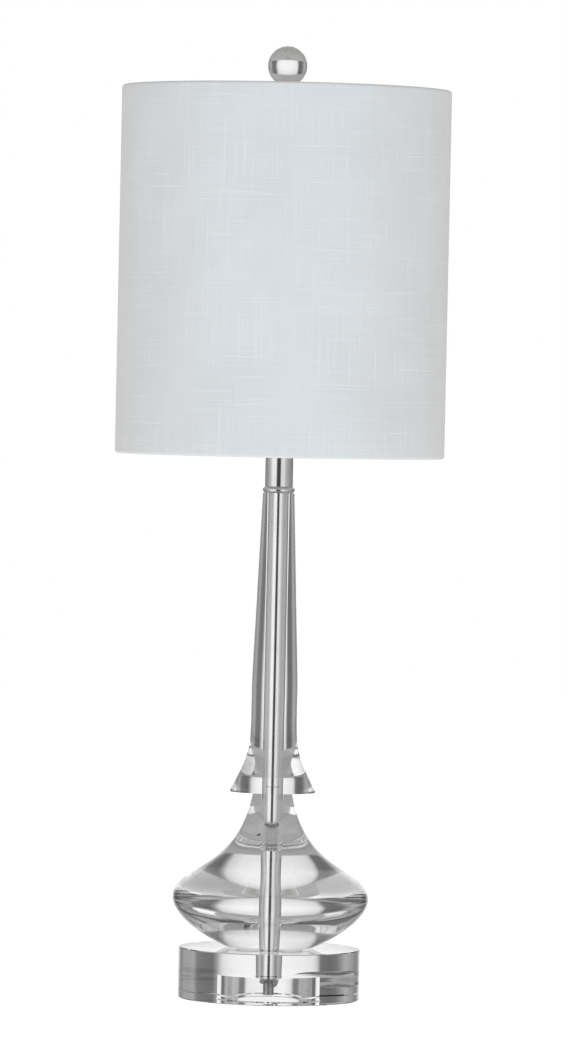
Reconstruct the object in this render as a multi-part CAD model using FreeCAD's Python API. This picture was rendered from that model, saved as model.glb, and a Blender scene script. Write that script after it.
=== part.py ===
import FreeCAD, Part
import math
import os

# Candlestick table lamp: turned crystal base, vase and column on one threaded rod, chrome neck,
# switched socket, lift-off harp, drum shade on a washer spider, and a crystal ball finial.
# Millimetres. +Z is up, the origin is the middle of the resting face, the front is -Y.

# ---------------------------------------------------------------- driving dimensions
# Crystal base disc and its underside
PAD_D, PAD_H, PAD_COUNT, PAD_CIRCLE_D = 10.0, 1.0, 4, 136.0
DISC_D, DISC_H = 164.4, 46.1
RECESS_D, RECESS_H = 61.0, 22.0
EDGE_CHAMFER = 0.7
CORD_HOLE_D, CORD_HOLE_UP, CORD_HOLE_AZIMUTH = 12.0, 14.5, 81.0
BUSHING_BORE_D, BUSHING_FLANGE_D, BUSHING_FLANGE_T, BUSHING_L = 7.2, 15.0, 1.6, 13.0
GASKET_T, GASKET_D = 0.8, 32.0

# Crystal vase: foot, belly and neck
VASE_FOOT_D, VASE_BELLY_D, VASE_NECK_D = 80.6, 177.4, 35.6
VASE_BELLY_UP, VASE_H = 43.6, 139.7

# Crystal column: flared foot, waist and top
COLUMN_FOOT_D, COLUMN_WAIST_D, COLUMN_TOP_D = 78.4, 41.7, 28.6
COLUMN_FLARE_H, COLUMN_H = 82.0, 271.1

# Each outline is one curve per stretch. The pairs are the shares of the stretch's width and height
# that the curve's first and last handles reach from its two ends.
VASE_LOWER_HANDLES = ((0.847, 0.431), (0.0, 0.160))
VASE_UPPER_HANDLES = ((0.0, 0.307), (0.184, 0.770))
FLARE_HANDLES = ((0.993, 0.449), (0.0, 0.574))
SHAFT_HANDLES = ((0.0, 0.150), (0.948, 0.888))
# Where the middle of an arc lies, as shares of its own width and height.
CAP_DOME_MIDDLE, CAP_DOME_INSIDE_MIDDLE = (0.72, 0.38), (0.68, 0.405)
TIP_MIDDLE = (0.70, 0.45)
GLOBE_NECK_REACH = 0.4    # handle length of the globe's neck curve, as a share of its height

# Threaded rod and its fixings
ROD_D, ROD_BORE_D = 9.7, 6.5
ROD_BELOW_NUT, ROD_ABOVE_CAP_FLOOR = 10.0, 6.5
RUBBER_D, RUBBER_T = 17.0, 1.2
CLAMP_D, CLAMP_T = 17.6, 1.2
LOCK_D, LOCK_T, LOCK_SPLIT = 15.0, 1.0, 1.6
NUT_FLATS, BASE_NUT_H, SADDLE_NUT_H = 14.3, 4.0, 3.2
SLEEVE_WALL = 0.8

# Chrome neck
RING_D, RING_H, RING_BULGE = 29.2, 5.5, 2.0
NECK_D, NECK_WALL, NECK_H = 25.4, 1.0, 52.0
CAP_DISC_D, CAP_DISC_T = 27.0, 2.5
SPIGOT_H = 4.0

# Harp saddle, harp and ferrules
SADDLE_W, SADDLE_T, SADDLE_RISE, SADDLE_FLAT = 14.0, 1.6, 10.5, 11.0
TONGUE_W, TONGUE_T, TONGUE_H = 3.6, 1.3, 10.0
LEG_END_D, LEG_END_H = 6.0, 12.7
FERRULE_WALL, FERRULE_H = 0.7, 13.0
HARP_WIRE_D, HARP_W, HARP_H = 4.0, 114.0, 279.4
HARP_KNEE_UP, HARP_SHOULDER_UP = 30.0, 72.0
HARP_KNEE_R, HARP_SHOULDER_R, HARP_CROWN_R = 14.0, 30.0, 46.0
BOSS_D, BOSS_ABOVE_WIRE = 11.0, 0.8
STUD_SHANK_D, STUD_HEAD_D, STUD_HEAD_T = 5.0, 8.0, 1.5
STUD_FLANGE_D, STUD_FLANGE_T = 13.0, 3.4
STUD_THREAD_D, STUD_THREAD_H = 6.1, 12.0

# Socket, from the bulb's screw base outwards
BULB_BASE_D, BULB_BASE_H, THREAD_DEPTH, THREAD_PITCH, THREAD_TURNS = 26.1, 22.0, 0.7, 3.63, 4
SCREW_SHELL_T, INSULATOR_T, SOCKET_SHELL_T, SOCKET_CAP_T = 0.4, 0.5, 0.6, 0.8
SOCKET_HUB_D, SOCKET_HUB_H, SOCKET_DOME_H, SOCKET_SKIRT_H = 15.0, 8.0, 13.0, 7.0
SWITCH_BODY_H, SWITCH_BODY_ABOVE_DOME = 21.0, 2.0
SCREW_SHELL_H, CONTACT_D, CONTACT_T = 21.0, 8.0, 1.2
TERMINAL_SCREW_D, TERMINAL_HEAD_T, TERMINAL_FLAT_DEPTH = 6.5, 1.8, 3.0
SET_SCREW_D, SET_SCREW_PROUD = 3.0, 2.0
FLOOR_HOLE_WIDER = 5.0    # hole in the screw shell's floor, wider than the contact by this much
SHELL_THREAD_UP = 3.0     # first thread above the screw shell's floor
SWITCH_BODY_ROOF = 4.0    # full round of the switch body left above its flats
DRIVER_SLOT_W = 1.0
SWITCH_SHAFT_D, SWITCH_SHAFT_UP, SHAFT_SLOT_W = 3.2, 10.0, 6.5
KNOB_D, KNOB_COLLAR_L, KNOB_GRIP_L, KNOB_GRIP_T = 9.0, 4.0, 10.0, 3.6

# Light bulb
GLASS_D, BULB_LENGTH, GLASS_WALL, GLASS_NECK_D = 60.0, 108.0, 1.0, 25.6
TIP_D, TIP_H, BUTTON_D, BUTTON_H = 9.0, 1.8, 22.7, 5.0
STEM_D, STEM_H = 7.0, 30.0
GLOBE_JOIN_BELOW = 52.0   # degrees below the globe's middle where the neck curve meets it
GLASS_IN_BASE = 2.0       # glass neck sunk in the screw base
BASE_THREAD_UP = 2.0      # first thread above the foot of the screw base
BASE_COLLAR_RISE = 1.0    # slope from the last thread to the collar
FILAMENT_WIRE_D, FILAMENT_SPAN, FILAMENT_RISE = 0.6, 24.0, 14.0
FILAMENT_UPRIGHT, FILAMENT_HOOK, FILAMENT_BEND_R, FILAMENT_ARCH_R = 2.8, 12.6, 1.5, 10.0

# Shade, spider and finial
SHADE_D, SHADE_H, FABRIC_T, LINER_T = 298.4, 333.0, 0.6, 0.6
RING_WIRE_D, ARM_WIRE_D, ARM_COUNT, FIRST_ARM_AZIMUTH = 3.2, 3.5, 3, 90.0
HUB_D, HUB_T, SPIDER_DROP = 25.4, 1.6, 14.5
ARM_BEND_OUT, ARM_BEND_IN, ARM_BEND_R = 16.0, 34.0, 9.0
HEM_TOP, HEM_BOTTOM = 0.8, 6.0
FINIAL_FLANGE_D, FINIAL_FLANGE_T, FINIAL_STEM_D = 14.0, 2.0, 10.0
FINIAL_CUP_D, FINIAL_CUP_H, FINIAL_BASE_H = 12.6, 3.0, 15.8
BALL_D = 35.8

# Named clearances
BORE_GAP = 0.35           # washers, nuts and sleeve round the rod
DISC_BORE_GAP = 1.8       # crystal bores round the sleeve
VASE_BORE_GAP = 0.8
COLUMN_BORE_GAP = 0.6
BUSHING_GAP = 0.10        # bushing in the cord hole
FIT = 0.06                # turning shafts
SPIGOT_GAP = 0.15         # pieces of one body, one inside the other
MOVING_GAP = 0.3          # seats and slides between bodies
STUD_GAP = 0.4            # hub washer and finial round the stud
THREAD_GAP = 0.45         # bulb base in the screw shell
LEG_TO_SOCKET_GAP = 1.2   # ferrule beside the socket cap
WELD = 0.4                # spider wires sunk into what they are welded to
ROLL_GAP = 0.4            # fabric round the ring wires
SLEEVE_TOP_GAP = 0.5      # the crystal carries the clamping force, not the sleeve
STUD_TIP_GAP = 1.4        # finial's tapped hole above the stud's tip
ARM_END_GAP = 2.0         # inner ends of the spider's arms beside the stud's flange
BEYOND = 1.0              # how far a cutting shape runs past what it cuts

# ---------------------------------------------------------------- dependent sizes
rod_r = ROD_D / 2
rod_hole_r = rod_r + BORE_GAP
sleeve_in_r = rod_hole_r
sleeve_r = sleeve_in_r + SLEEVE_WALL
neck_in_r = NECK_D / 2 - NECK_WALL

screw_in_r = BULB_BASE_D / 2 + THREAD_GAP
screw_out_r = screw_in_r + THREAD_DEPTH + SCREW_SHELL_T
insulator_in_r = screw_out_r + SPIGOT_GAP
shell_in_r = insulator_in_r + INSULATOR_T + SPIGOT_GAP
shell_r = shell_in_r + SOCKET_SHELL_T
cap_in_r = shell_r + SPIGOT_GAP
cap_r = cap_in_r + SOCKET_CAP_T
switch_body_r = insulator_in_r - SPIGOT_GAP
terminal_flat_x = switch_body_r - TERMINAL_FLAT_DEPTH

ferrule_in_r = LEG_END_D / 2 + MOVING_GAP
ferrule_r = ferrule_in_r + FERRULE_WALL
leg_x = cap_r + LEG_TO_SOCKET_GAP + ferrule_r

shade_r = SHADE_D / 2
roll_in_r = RING_WIRE_D / 2 + ROLL_GAP
roll_r = roll_in_r + FABRIC_T
ring_r = shade_r - roll_r
liner_r = shade_r - FABRIC_T

# Heights, from the resting face up
disc_z = PAD_H
recess_z = disc_z + RECESS_H
disc_top = disc_z + DISC_H
vase_z = disc_top + GASKET_T
vase_top = vase_z + VASE_H
column_z = vase_top + GASKET_T
column_top = column_z + COLUMN_H
neck_z = column_top + RING_H
neck_top = neck_z + NECK_H
saddle_z = neck_top + CAP_DISC_T
saddle_nut_z = saddle_z + SADDLE_T
socket_z = saddle_nut_z + SADDLE_NUT_H
set_screw_z = socket_z + SOCKET_HUB_H / 2
dome_z = socket_z + SOCKET_HUB_H
skirt_z = dome_z + SOCKET_DOME_H
skirt_top = skirt_z + SOCKET_SKIRT_H
switch_z = skirt_z + SWITCH_BODY_ABOVE_DOME
switch_top = switch_z + SWITCH_BODY_H
screw_top = switch_top + SCREW_SHELL_H
shaft_z = switch_z + SWITCH_SHAFT_UP
contact_top = switch_top + CONTACT_T
bulb_z = contact_top + MOVING_GAP
bulb_top = bulb_z + BULB_LENGTH
thread_z = bulb_z + TIP_H + BUTTON_H
bulb_base_top = thread_z + BULB_BASE_H

shoulder_z = saddle_nut_z + SADDLE_RISE
leg_z = shoulder_z + MOVING_GAP
seat_z = shoulder_z + HARP_H
boss_top = seat_z - STUD_FLANGE_T - MOVING_GAP
bow_z = boss_top - BOSS_ABOVE_WIRE - HARP_WIRE_D / 2
boss_z = bow_z - HARP_WIRE_D / 2 - BOSS_ABOVE_WIRE
hub_z = seat_z + MOVING_GAP
shade_top = hub_z + SPIDER_DROP
shade_z = shade_top - SHADE_H
top_ring_z = shade_top - roll_r
bottom_ring_z = shade_z + roll_r
finial_z = hub_z + HUB_T + MOVING_GAP
ball_flat_z = finial_z + FINIAL_BASE_H
ball_z = ball_flat_z + math.sqrt((BALL_D / 2) ** 2 - (FINIAL_CUP_D / 2) ** 2)

rubber_z = recess_z - RUBBER_T
clamp_z = rubber_z - CLAMP_T
lock_z = clamp_z - LOCK_T
base_nut_z = lock_z - BASE_NUT_H
rod_z = base_nut_z - ROD_BELOW_NUT
rod_top = dome_z + SOCKET_CAP_T + ROD_ABOVE_CAP_FLOOR

UP = FreeCAD.Vector(0, 0, 1)
ORIGIN = FreeCAD.Vector(0, 0, 0)


# ---------------------------------------------------------------- shape helpers
def at(x, y, z):
    return FreeCAD.Vector(x, y, z)


def rod(radius, z0, z1):
    """Upright cylinder on the axis."""
    return Part.makeCylinder(radius, z1 - z0, at(0, 0, z0))


def hole(radius, z0, z1):
    """Cutting cylinder on the axis that runs past both of its ends."""
    return rod(radius, z0 - BEYOND, z1 + BEYOND)


def tube(outer_r, inner_r, z0, z1):
    """Upright tube on the axis, with its bore cut clean through."""
    return rod(outer_r, z0, z1).cut(hole(inner_r, z0, z1))


def hexagon_nut(flats, hole_r, z0, height):
    """Hexagon nut with a chamfered rim, on the axis."""
    corner_r = flats / math.sqrt(3)
    corners = [at(corner_r * math.cos(math.radians(60 * k)), corner_r * math.sin(math.radians(60 * k)), z0)
               for k in range(7)]
    prism = Part.Face(Part.makePolygon(corners)).extrude(at(0, 0, height))
    rim = rod(corner_r, z0, z0 + height)
    rim = rim.makeChamfer(corner_r - flats / 2, rim.Edges[:1] + rim.Edges[2:])
    return prism.common(rim).cut(hole(hole_r, z0, z0 + height))


def line(p, q):
    return Part.LineSegment(p, q).toShape()


def arc(p, middle, q):
    return Part.Arc(p, middle, q).toShape()


def spun(edges):
    """Solid of revolution about Z from closed edges in the XZ plane."""
    return Part.Face(Part.Wire(edges)).revolve(ORIGIN, UP, 360)


def outline(points):
    """Straight edges round a closed list of (radius, height) points."""
    corners = [at(r, 0, z) for r, z in points]
    return [line(p, q) for p, q in zip(corners, corners[1:] + corners[:1])]


def bulged(start, end, middle):
    """Arc from start to end, both (radius, height), through a point at shares of its width and height."""
    width, height = end[0] - start[0], end[1] - start[1]
    through = at(start[0] + middle[0] * width, 0, start[1] + middle[1] * height)
    return arc(at(start[0], 0, start[1]), through, at(end[0], 0, end[1]))


def handled_curve(start, end, handles):
    """One curve from start to end, both (radius, height), shaped by its two handles."""
    (first_across, first_up), (last_across, last_up) = handles
    width, height = end[0] - start[0], end[1] - start[1]
    curve = Part.BezierCurve()
    curve.setPoles([
        at(start[0], 0, start[1]),
        at(start[0] + first_across * width, 0, start[1] + first_up * height),
        at(end[0] - last_across * width, 0, end[1] - last_up * height),
        at(end[0], 0, end[1]),
    ])
    return curve.toShape()


def rounded_path(points, radii):
    """Wire through points with each inner corner rounded by its radius."""
    edges = []
    here = points[0]
    for before, corner, after, radius in zip(points, points[1:], points[2:], radii):
        back = (before - corner).normalize()
        ahead = (after - corner).normalize()
        half = back.getAngle(ahead) / 2
        inward = (back + ahead).normalize()
        reach = radius / math.tan(half)
        centre = corner + inward * (radius / math.sin(half))
        edges.append(line(here, corner + back * reach))
        edges.append(arc(corner + back * reach, centre - inward * radius, corner + ahead * reach))
        here = corner + ahead * reach
    edges.append(line(here, points[-1]))
    return Part.Wire(edges)


def bent_wire(path, diameter):
    """Round wire of one diameter along a path."""
    first = path.Edges[0]
    start = first.valueAt(first.FirstParameter)
    along = first.tangentAt(first.FirstParameter)
    section = Part.Wire(Part.makeCircle(diameter / 2, start, along))
    return path.makePipeShell([section], True, False)


def turned(shape, degrees):
    copy = shape.copy()
    copy.rotate(ORIGIN, UP, degrees)
    return copy


def thread_waves(crest_r, depth, z0, turns, pitch):
    """Rolled-thread outline, waves between crest_r - depth and crest_r, from z0 up."""
    root_r = crest_r - depth
    edges = []
    for k in range(turns):
        foot = z0 + k * pitch
        quarter = pitch / 4
        edges.append(arc(at(root_r + depth / 2, 0, foot), at(crest_r, 0, foot + quarter),
                         at(root_r + depth / 2, 0, foot + 2 * quarter)))
        edges.append(arc(at(root_r + depth / 2, 0, foot + 2 * quarter), at(root_r, 0, foot + 3 * quarter),
                         at(root_r + depth / 2, 0, foot + pitch)))
    return edges


# ---------------------------------------------------------------- crystal and base
def foot_pads():
    """Clear bumpers under the disc."""
    pad = Part.makeCylinder(PAD_D / 2, PAD_H, at(PAD_CIRCLE_D / 2, 0, 0))
    first = 180.0 / PAD_COUNT
    return Part.makeCompound([turned(pad, first + k * 360.0 / PAD_COUNT) for k in range(PAD_COUNT)])


def cord_direction():
    angle = math.radians(CORD_HOLE_AZIMUTH)
    return at(math.cos(angle), math.sin(angle), 0)


def base_disc():
    """Thick crystal disc, bored, with a recess below and a cord hole out of it to the rear."""
    disc = rod(DISC_D / 2, disc_z, disc_top)
    rims = [e for e in disc.Edges if e.isClosed()]
    disc = disc.makeChamfer(EDGE_CHAMFER, rims)
    disc = disc.cut(hole(sleeve_r + DISC_BORE_GAP, disc_z, disc_top))
    disc = disc.cut(rod(RECESS_D / 2, disc_z - BEYOND, recess_z))
    cord_hole = Part.makeCylinder(CORD_HOLE_D / 2, DISC_D, at(0, 0, disc_z + CORD_HOLE_UP), cord_direction())
    return disc.cut(cord_hole)


def cord_bushing():
    """Flanged sleeve in the mouth of the cord hole."""
    along = cord_direction()
    body_r = CORD_HOLE_D / 2 - BUSHING_GAP
    # The flange stands clear of the curved wall, which falls away by this much at the flange's rim.
    fall = DISC_D / 2 - math.sqrt((DISC_D / 2) ** 2 - (BUSHING_FLANGE_D / 2) ** 2)
    mouth = along * (DISC_D / 2) + at(0, 0, disc_z + CORD_HOLE_UP)
    body = Part.makeCylinder(body_r, BUSHING_L, mouth - along * BUSHING_L, along)
    flange = Part.makeCylinder(BUSHING_FLANGE_D / 2, BUSHING_FLANGE_T + fall, mouth - along * fall, along)
    flange = flange.cut(hole(DISC_D / 2, disc_z, disc_top))
    bore = Part.makeCylinder(BUSHING_BORE_D / 2, BUSHING_L + BUSHING_FLANGE_T + 2 * BEYOND,
                             mouth - along * (BUSHING_L + BEYOND), along)
    return body.fuse(flange).cut(bore).removeSplitter()


def crystal_vase():
    """Bulb-shaped crystal with a small foot, a wide belly and a slim neck."""
    foot = (VASE_FOOT_D / 2, vase_z)
    belly = (VASE_BELLY_D / 2, vase_z + VASE_BELLY_UP)
    neck = (VASE_NECK_D / 2, vase_top)
    edges = [
        line(at(0, 0, vase_z), at(foot[0], 0, foot[1])),
        handled_curve(foot, belly, VASE_LOWER_HANDLES),
        handled_curve(belly, neck, VASE_UPPER_HANDLES),
        line(at(neck[0], 0, neck[1]), at(0, 0, vase_top)),
        line(at(0, 0, vase_top), at(0, 0, vase_z)),
    ]
    return spun(edges).cut(hole(sleeve_r + VASE_BORE_GAP, vase_z, vase_top))


def crystal_column():
    """Tall crystal column that swells to a waist and flares to its foot."""
    foot = (COLUMN_FOOT_D / 2, column_z)
    waist = (COLUMN_WAIST_D / 2, column_z + COLUMN_FLARE_H)
    top = (COLUMN_TOP_D / 2, column_top)
    edges = [
        line(at(0, 0, column_z), at(foot[0], 0, foot[1])),
        handled_curve(foot, waist, FLARE_HANDLES),
        handled_curve(waist, top, SHAFT_HANDLES),
        line(at(top[0], 0, top[1]), at(0, 0, column_top)),
        line(at(0, 0, column_top), at(0, 0, column_z)),
    ]
    return spun(edges).cut(hole(sleeve_r + COLUMN_BORE_GAP, column_z, column_top))


# ---------------------------------------------------------------- rod, washers and neck
def split_lock_washer():
    """Lock washer with its radial split."""
    washer = tube(LOCK_D / 2, rod_hole_r, lock_z, clamp_z)
    split = Part.makeBox(LOCK_D, LOCK_SPLIT, LOCK_T + 2 * BEYOND, at(0, -LOCK_SPLIT / 2, lock_z - BEYOND))
    return washer.cut(split)


def neck_ring():
    """Bulged ring on the column's top, with a spigot up into the neck tube."""
    edge_r = RING_D / 2 - RING_BULGE
    spigot_r = neck_in_r - SPIGOT_GAP
    edges = [
        line(at(rod_hole_r, 0, column_top), at(edge_r, 0, column_top)),
        arc(at(edge_r, 0, column_top), at(RING_D / 2, 0, column_top + RING_H / 2), at(edge_r, 0, neck_z)),
        line(at(edge_r, 0, neck_z), at(spigot_r, 0, neck_z)),
        line(at(spigot_r, 0, neck_z), at(spigot_r, 0, neck_z + SPIGOT_H)),
        line(at(spigot_r, 0, neck_z + SPIGOT_H), at(rod_hole_r, 0, neck_z + SPIGOT_H)),
        line(at(rod_hole_r, 0, neck_z + SPIGOT_H), at(rod_hole_r, 0, column_top)),
    ]
    return spun(edges)


def neck_cap():
    """Disc that closes the neck tube, with a spigot down into it."""
    spigot_r = neck_in_r - SPIGOT_GAP
    return spun(outline([
        (rod_hole_r, neck_top - SPIGOT_H), (spigot_r, neck_top - SPIGOT_H), (spigot_r, neck_top),
        (CAP_DISC_D / 2, neck_top), (CAP_DISC_D / 2, saddle_z), (rod_hole_r, saddle_z),
    ]))


# ---------------------------------------------------------------- harp saddle, harp, ferrules
def harp_saddle():
    """Bent strip that holds the harp: a flat middle, two rising arms and a tongue on each."""
    half_t = TONGUE_T / 2
    profile = [
        (SADDLE_FLAT, saddle_z), (leg_x + half_t, shoulder_z), (leg_x - half_t, shoulder_z),
        (SADDLE_FLAT - SADDLE_T / 2, saddle_nut_z),
    ]
    corners = [(x, z) for x, z in profile] + [(-x, z) for x, z in reversed(profile)]
    face = Part.Face(Part.Wire(outline(corners)))
    strip = face.extrude(at(0, SADDLE_W, 0))
    strip.translate(at(0, -SADDLE_W / 2, 0))
    strip = strip.cut(hole(rod_hole_r, saddle_z, saddle_nut_z))
    for side in (-1, 1):
        tongue = Part.makeBox(TONGUE_T, TONGUE_W, TONGUE_H,
                              at(side * leg_x - half_t, -TONGUE_W / 2, shoulder_z))
        strip = strip.fuse(tongue)
    return strip.removeSplitter()


def harp_bow():
    """Bent wire bow with a socketed end on each leg and a drilled boss at the crown."""
    bow_x = HARP_W / 2
    leg_top = leg_z + LEG_END_H
    right = [at(leg_x, 0, leg_top - BEYOND), at(leg_x, 0, shoulder_z + HARP_KNEE_UP),
             at(bow_x, 0, shoulder_z + HARP_SHOULDER_UP), at(bow_x, 0, bow_z)]
    left = [at(-p.x, 0, p.z) for p in reversed(right)]
    radii = [HARP_KNEE_R, HARP_SHOULDER_R, HARP_CROWN_R]
    bow = bent_wire(rounded_path(right + left, radii + radii[::-1]), HARP_WIRE_D)
    for side in (-1, 1):
        end = Part.makeCylinder(LEG_END_D / 2, LEG_END_H, at(side * leg_x, 0, leg_z))
        slot_t = TONGUE_T + 2 * MOVING_GAP
        slot_w = TONGUE_W + 2 * MOVING_GAP
        slot = Part.makeBox(slot_t, slot_w, TONGUE_H + BEYOND,
                            at(side * leg_x - slot_t / 2, -slot_w / 2, leg_z - BEYOND))
        bow = bow.fuse(end).cut(slot)
    bow = bow.fuse(rod(BOSS_D / 2, boss_z, boss_top))
    return bow.cut(hole(STUD_SHANK_D / 2 + FIT, boss_z, boss_top)).removeSplitter()


def harp_stud():
    """Swivel stud riveted through the boss: head, shank, flange that seats the shade, threaded tip."""
    head_top = boss_z - MOVING_GAP
    tip_top = seat_z + STUD_THREAD_H
    return spun(outline([
        (0, head_top - STUD_HEAD_T), (STUD_HEAD_D / 2, head_top - STUD_HEAD_T), (STUD_HEAD_D / 2, head_top),
        (STUD_SHANK_D / 2, head_top), (STUD_SHANK_D / 2, seat_z - STUD_FLANGE_T),
        (STUD_FLANGE_D / 2, seat_z - STUD_FLANGE_T), (STUD_FLANGE_D / 2, seat_z),
        (STUD_THREAD_D / 2, seat_z), (STUD_THREAD_D / 2, tip_top), (0, tip_top),
    ]))


def ferrule(side):
    """Locking sleeve over one leg end and its tongue."""
    shell = tube(ferrule_r, ferrule_in_r, leg_z, leg_z + FERRULE_H)
    shell.translate(at(side * leg_x, 0, 0))
    return shell


# ---------------------------------------------------------------- socket
def socket_cap():
    """Threaded hub, domed floor and skirt, with a tapped hole for its set screw."""
    hub_r = SOCKET_HUB_D / 2
    inner_floor = dome_z + SOCKET_CAP_T
    edges = outline([(rod_hole_r, socket_z), (hub_r, socket_z), (hub_r, dome_z)])[:2]
    edges += [
        bulged((hub_r, dome_z), (cap_r, skirt_z), CAP_DOME_MIDDLE),
        line(at(cap_r, 0, skirt_z), at(cap_r, 0, skirt_top)),
        line(at(cap_r, 0, skirt_top), at(cap_in_r, 0, skirt_top)),
        line(at(cap_in_r, 0, skirt_top), at(cap_in_r, 0, skirt_z)),
        bulged((hub_r, inner_floor), (cap_in_r, skirt_z), CAP_DOME_INSIDE_MIDDLE),
        line(at(hub_r, 0, inner_floor), at(rod_hole_r, 0, inner_floor)),
        line(at(rod_hole_r, 0, inner_floor), at(rod_hole_r, 0, socket_z)),
    ]
    screw_hole = Part.makeCylinder(SET_SCREW_D / 2, SOCKET_HUB_D, at(0, 0, set_screw_z), at(0, 1, 0))
    return spun(edges).cut(screw_hole)


def cap_set_screw():
    """Screw through the hub that bears on the rod."""
    length = SOCKET_HUB_D / 2 + SET_SCREW_PROUD - rod_r
    return Part.makeCylinder(SET_SCREW_D / 2, length, at(0, rod_r, set_screw_z), at(0, 1, 0))


def shaft_slot(radius):
    """Open-bottomed slot at the front for the switch shaft, out to a radius."""
    top = shaft_z + SHAFT_SLOT_W / 2
    reach = radius + BEYOND
    return Part.makeBox(SHAFT_SLOT_W, reach, top - skirt_z + BEYOND,
                        at(-SHAFT_SLOT_W / 2, -reach, skirt_z - BEYOND))


def socket_shell():
    """Outer metal shell, slotted for the switch shaft."""
    return tube(shell_r, shell_in_r, skirt_z, screw_top).cut(shaft_slot(shell_r))


def paper_insulator():
    """Insulating sleeve inside the shell."""
    in_r, out_r = insulator_in_r, insulator_in_r + INSULATOR_T
    return tube(out_r, in_r, skirt_z, screw_top).cut(shaft_slot(out_r))


def switch_body():
    """Moulded switch body with a flat each side for the terminal screws and a hole for the shaft."""
    body = rod(switch_body_r, switch_z, switch_top)
    for side in (-1, 1):
        x0 = terminal_flat_x if side > 0 else -switch_body_r - BEYOND
        flat_h = SWITCH_BODY_H - SWITCH_BODY_ROOF + BEYOND
        flat = Part.makeBox(TERMINAL_FLAT_DEPTH + BEYOND, 2 * switch_body_r, flat_h,
                            at(x0, -switch_body_r, switch_z - BEYOND))
        body = body.cut(flat)
    shaft_hole = Part.makeCylinder(SWITCH_SHAFT_D / 2 + FIT, switch_body_r + 2 * BEYOND,
                                   at(0, BEYOND, shaft_z), at(0, -1, 0))
    return body.cut(shaft_hole)


def terminal_screws():
    """The two terminal screws, one on each flat."""
    heads = []
    for side in (-1, 1):
        head = Part.makeCylinder(TERMINAL_SCREW_D / 2, TERMINAL_HEAD_T, at(side * terminal_flat_x, 0, shaft_z),
                                 at(side, 0, 0))
        slot_x = side * (terminal_flat_x + TERMINAL_HEAD_T) - TERMINAL_HEAD_T / 2
        driver_slot = Part.makeBox(TERMINAL_HEAD_T, TERMINAL_SCREW_D + 2 * BEYOND, DRIVER_SLOT_W,
                                   at(slot_x, -TERMINAL_SCREW_D / 2 - BEYOND, shaft_z - DRIVER_SLOT_W / 2))
        heads.append(head.cut(driver_slot))
    return Part.makeCompound(heads)


def screw_shell():
    """Threaded metal cup that takes the bulb's base, open over the centre contact."""
    wave_z = switch_top + SHELL_THREAD_UP
    wave_top = wave_z + THREAD_TURNS * THREAD_PITCH
    crest_r = screw_in_r + THREAD_DEPTH
    mid_r = crest_r - THREAD_DEPTH / 2
    floor_hole_r = (CONTACT_D + FLOOR_HOLE_WIDER) / 2
    inside = Part.Wire([
        line(at(0, 0, switch_top + SCREW_SHELL_T), at(mid_r, 0, switch_top + SCREW_SHELL_T)),
        line(at(mid_r, 0, switch_top + SCREW_SHELL_T), at(mid_r, 0, wave_z)),
        *thread_waves(crest_r, THREAD_DEPTH, wave_z, THREAD_TURNS, THREAD_PITCH),
        line(at(mid_r, 0, wave_top), at(mid_r, 0, screw_top + BEYOND)),
        line(at(mid_r, 0, screw_top + BEYOND), at(0, 0, screw_top + BEYOND)),
        line(at(0, 0, screw_top + BEYOND), at(0, 0, switch_top + SCREW_SHELL_T)),
    ])
    hollow = Part.Face(inside).revolve(ORIGIN, UP, 360)
    cup = rod(screw_out_r, switch_top, screw_top).cut(hollow)
    return cup.cut(hole(floor_hole_r, switch_top, switch_top + SCREW_SHELL_T))


def centre_contact():
    """Contact button on the switch body."""
    return rod(CONTACT_D / 2, switch_top, contact_top)


def switch_shaft():
    """Shaft of the turn switch, out to the front."""
    length = cap_r + MOVING_GAP + KNOB_COLLAR_L
    return Part.makeCylinder(SWITCH_SHAFT_D / 2, length, at(0, 0, shaft_z), at(0, -1, 0))


def switch_knob():
    """Turn knob: a round collar and a flat grip."""
    face_y = -(cap_r + MOVING_GAP)
    collar = Part.makeCylinder(KNOB_D / 2, KNOB_COLLAR_L, at(0, face_y, shaft_z), at(0, -1, 0))
    grip = Part.makeCylinder(KNOB_D / 2, KNOB_GRIP_L, at(0, face_y - KNOB_COLLAR_L, shaft_z), at(0, -1, 0))
    slab = Part.makeBox(KNOB_GRIP_T, KNOB_GRIP_L, KNOB_D,
                        at(-KNOB_GRIP_T / 2, face_y - KNOB_COLLAR_L - KNOB_GRIP_L, shaft_z - KNOB_D / 2))
    knob = collar.fuse(grip.common(slab))
    shaft_hole = Part.makeCylinder(SWITCH_SHAFT_D / 2, KNOB_COLLAR_L, at(0, face_y, shaft_z), at(0, -1, 0))
    return knob.cut(shaft_hole).removeSplitter()


# ---------------------------------------------------------------- light bulb
def globe_outline(inset, z_open):
    """Edges of the globe, drawn in by inset, from its neck at z_open to the top on the axis."""
    globe_r = GLASS_D / 2 - inset
    neck_r = GLASS_NECK_D / 2 - inset
    centre_z = bulb_top - GLASS_D / 2
    # The neck curve meets the globe along the globe's own tangent.
    below = math.radians(GLOBE_JOIN_BELOW)
    join = (globe_r * math.cos(below), centre_z - globe_r * math.sin(below))
    neck = at(neck_r, 0, z_open)
    curve = Part.BezierCurve()
    reach = GLOBE_NECK_REACH * (join[1] - z_open)
    curve.setPoles([
        neck, at(neck_r, 0, z_open + reach),
        at(join[0] - reach * math.sin(below), 0, join[1] - reach * math.cos(below)), at(join[0], 0, join[1]),
    ])
    return [curve.toShape(),
            arc(at(join[0], 0, join[1]), at(globe_r, 0, centre_z), at(0, 0, centre_z + globe_r))]


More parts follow.
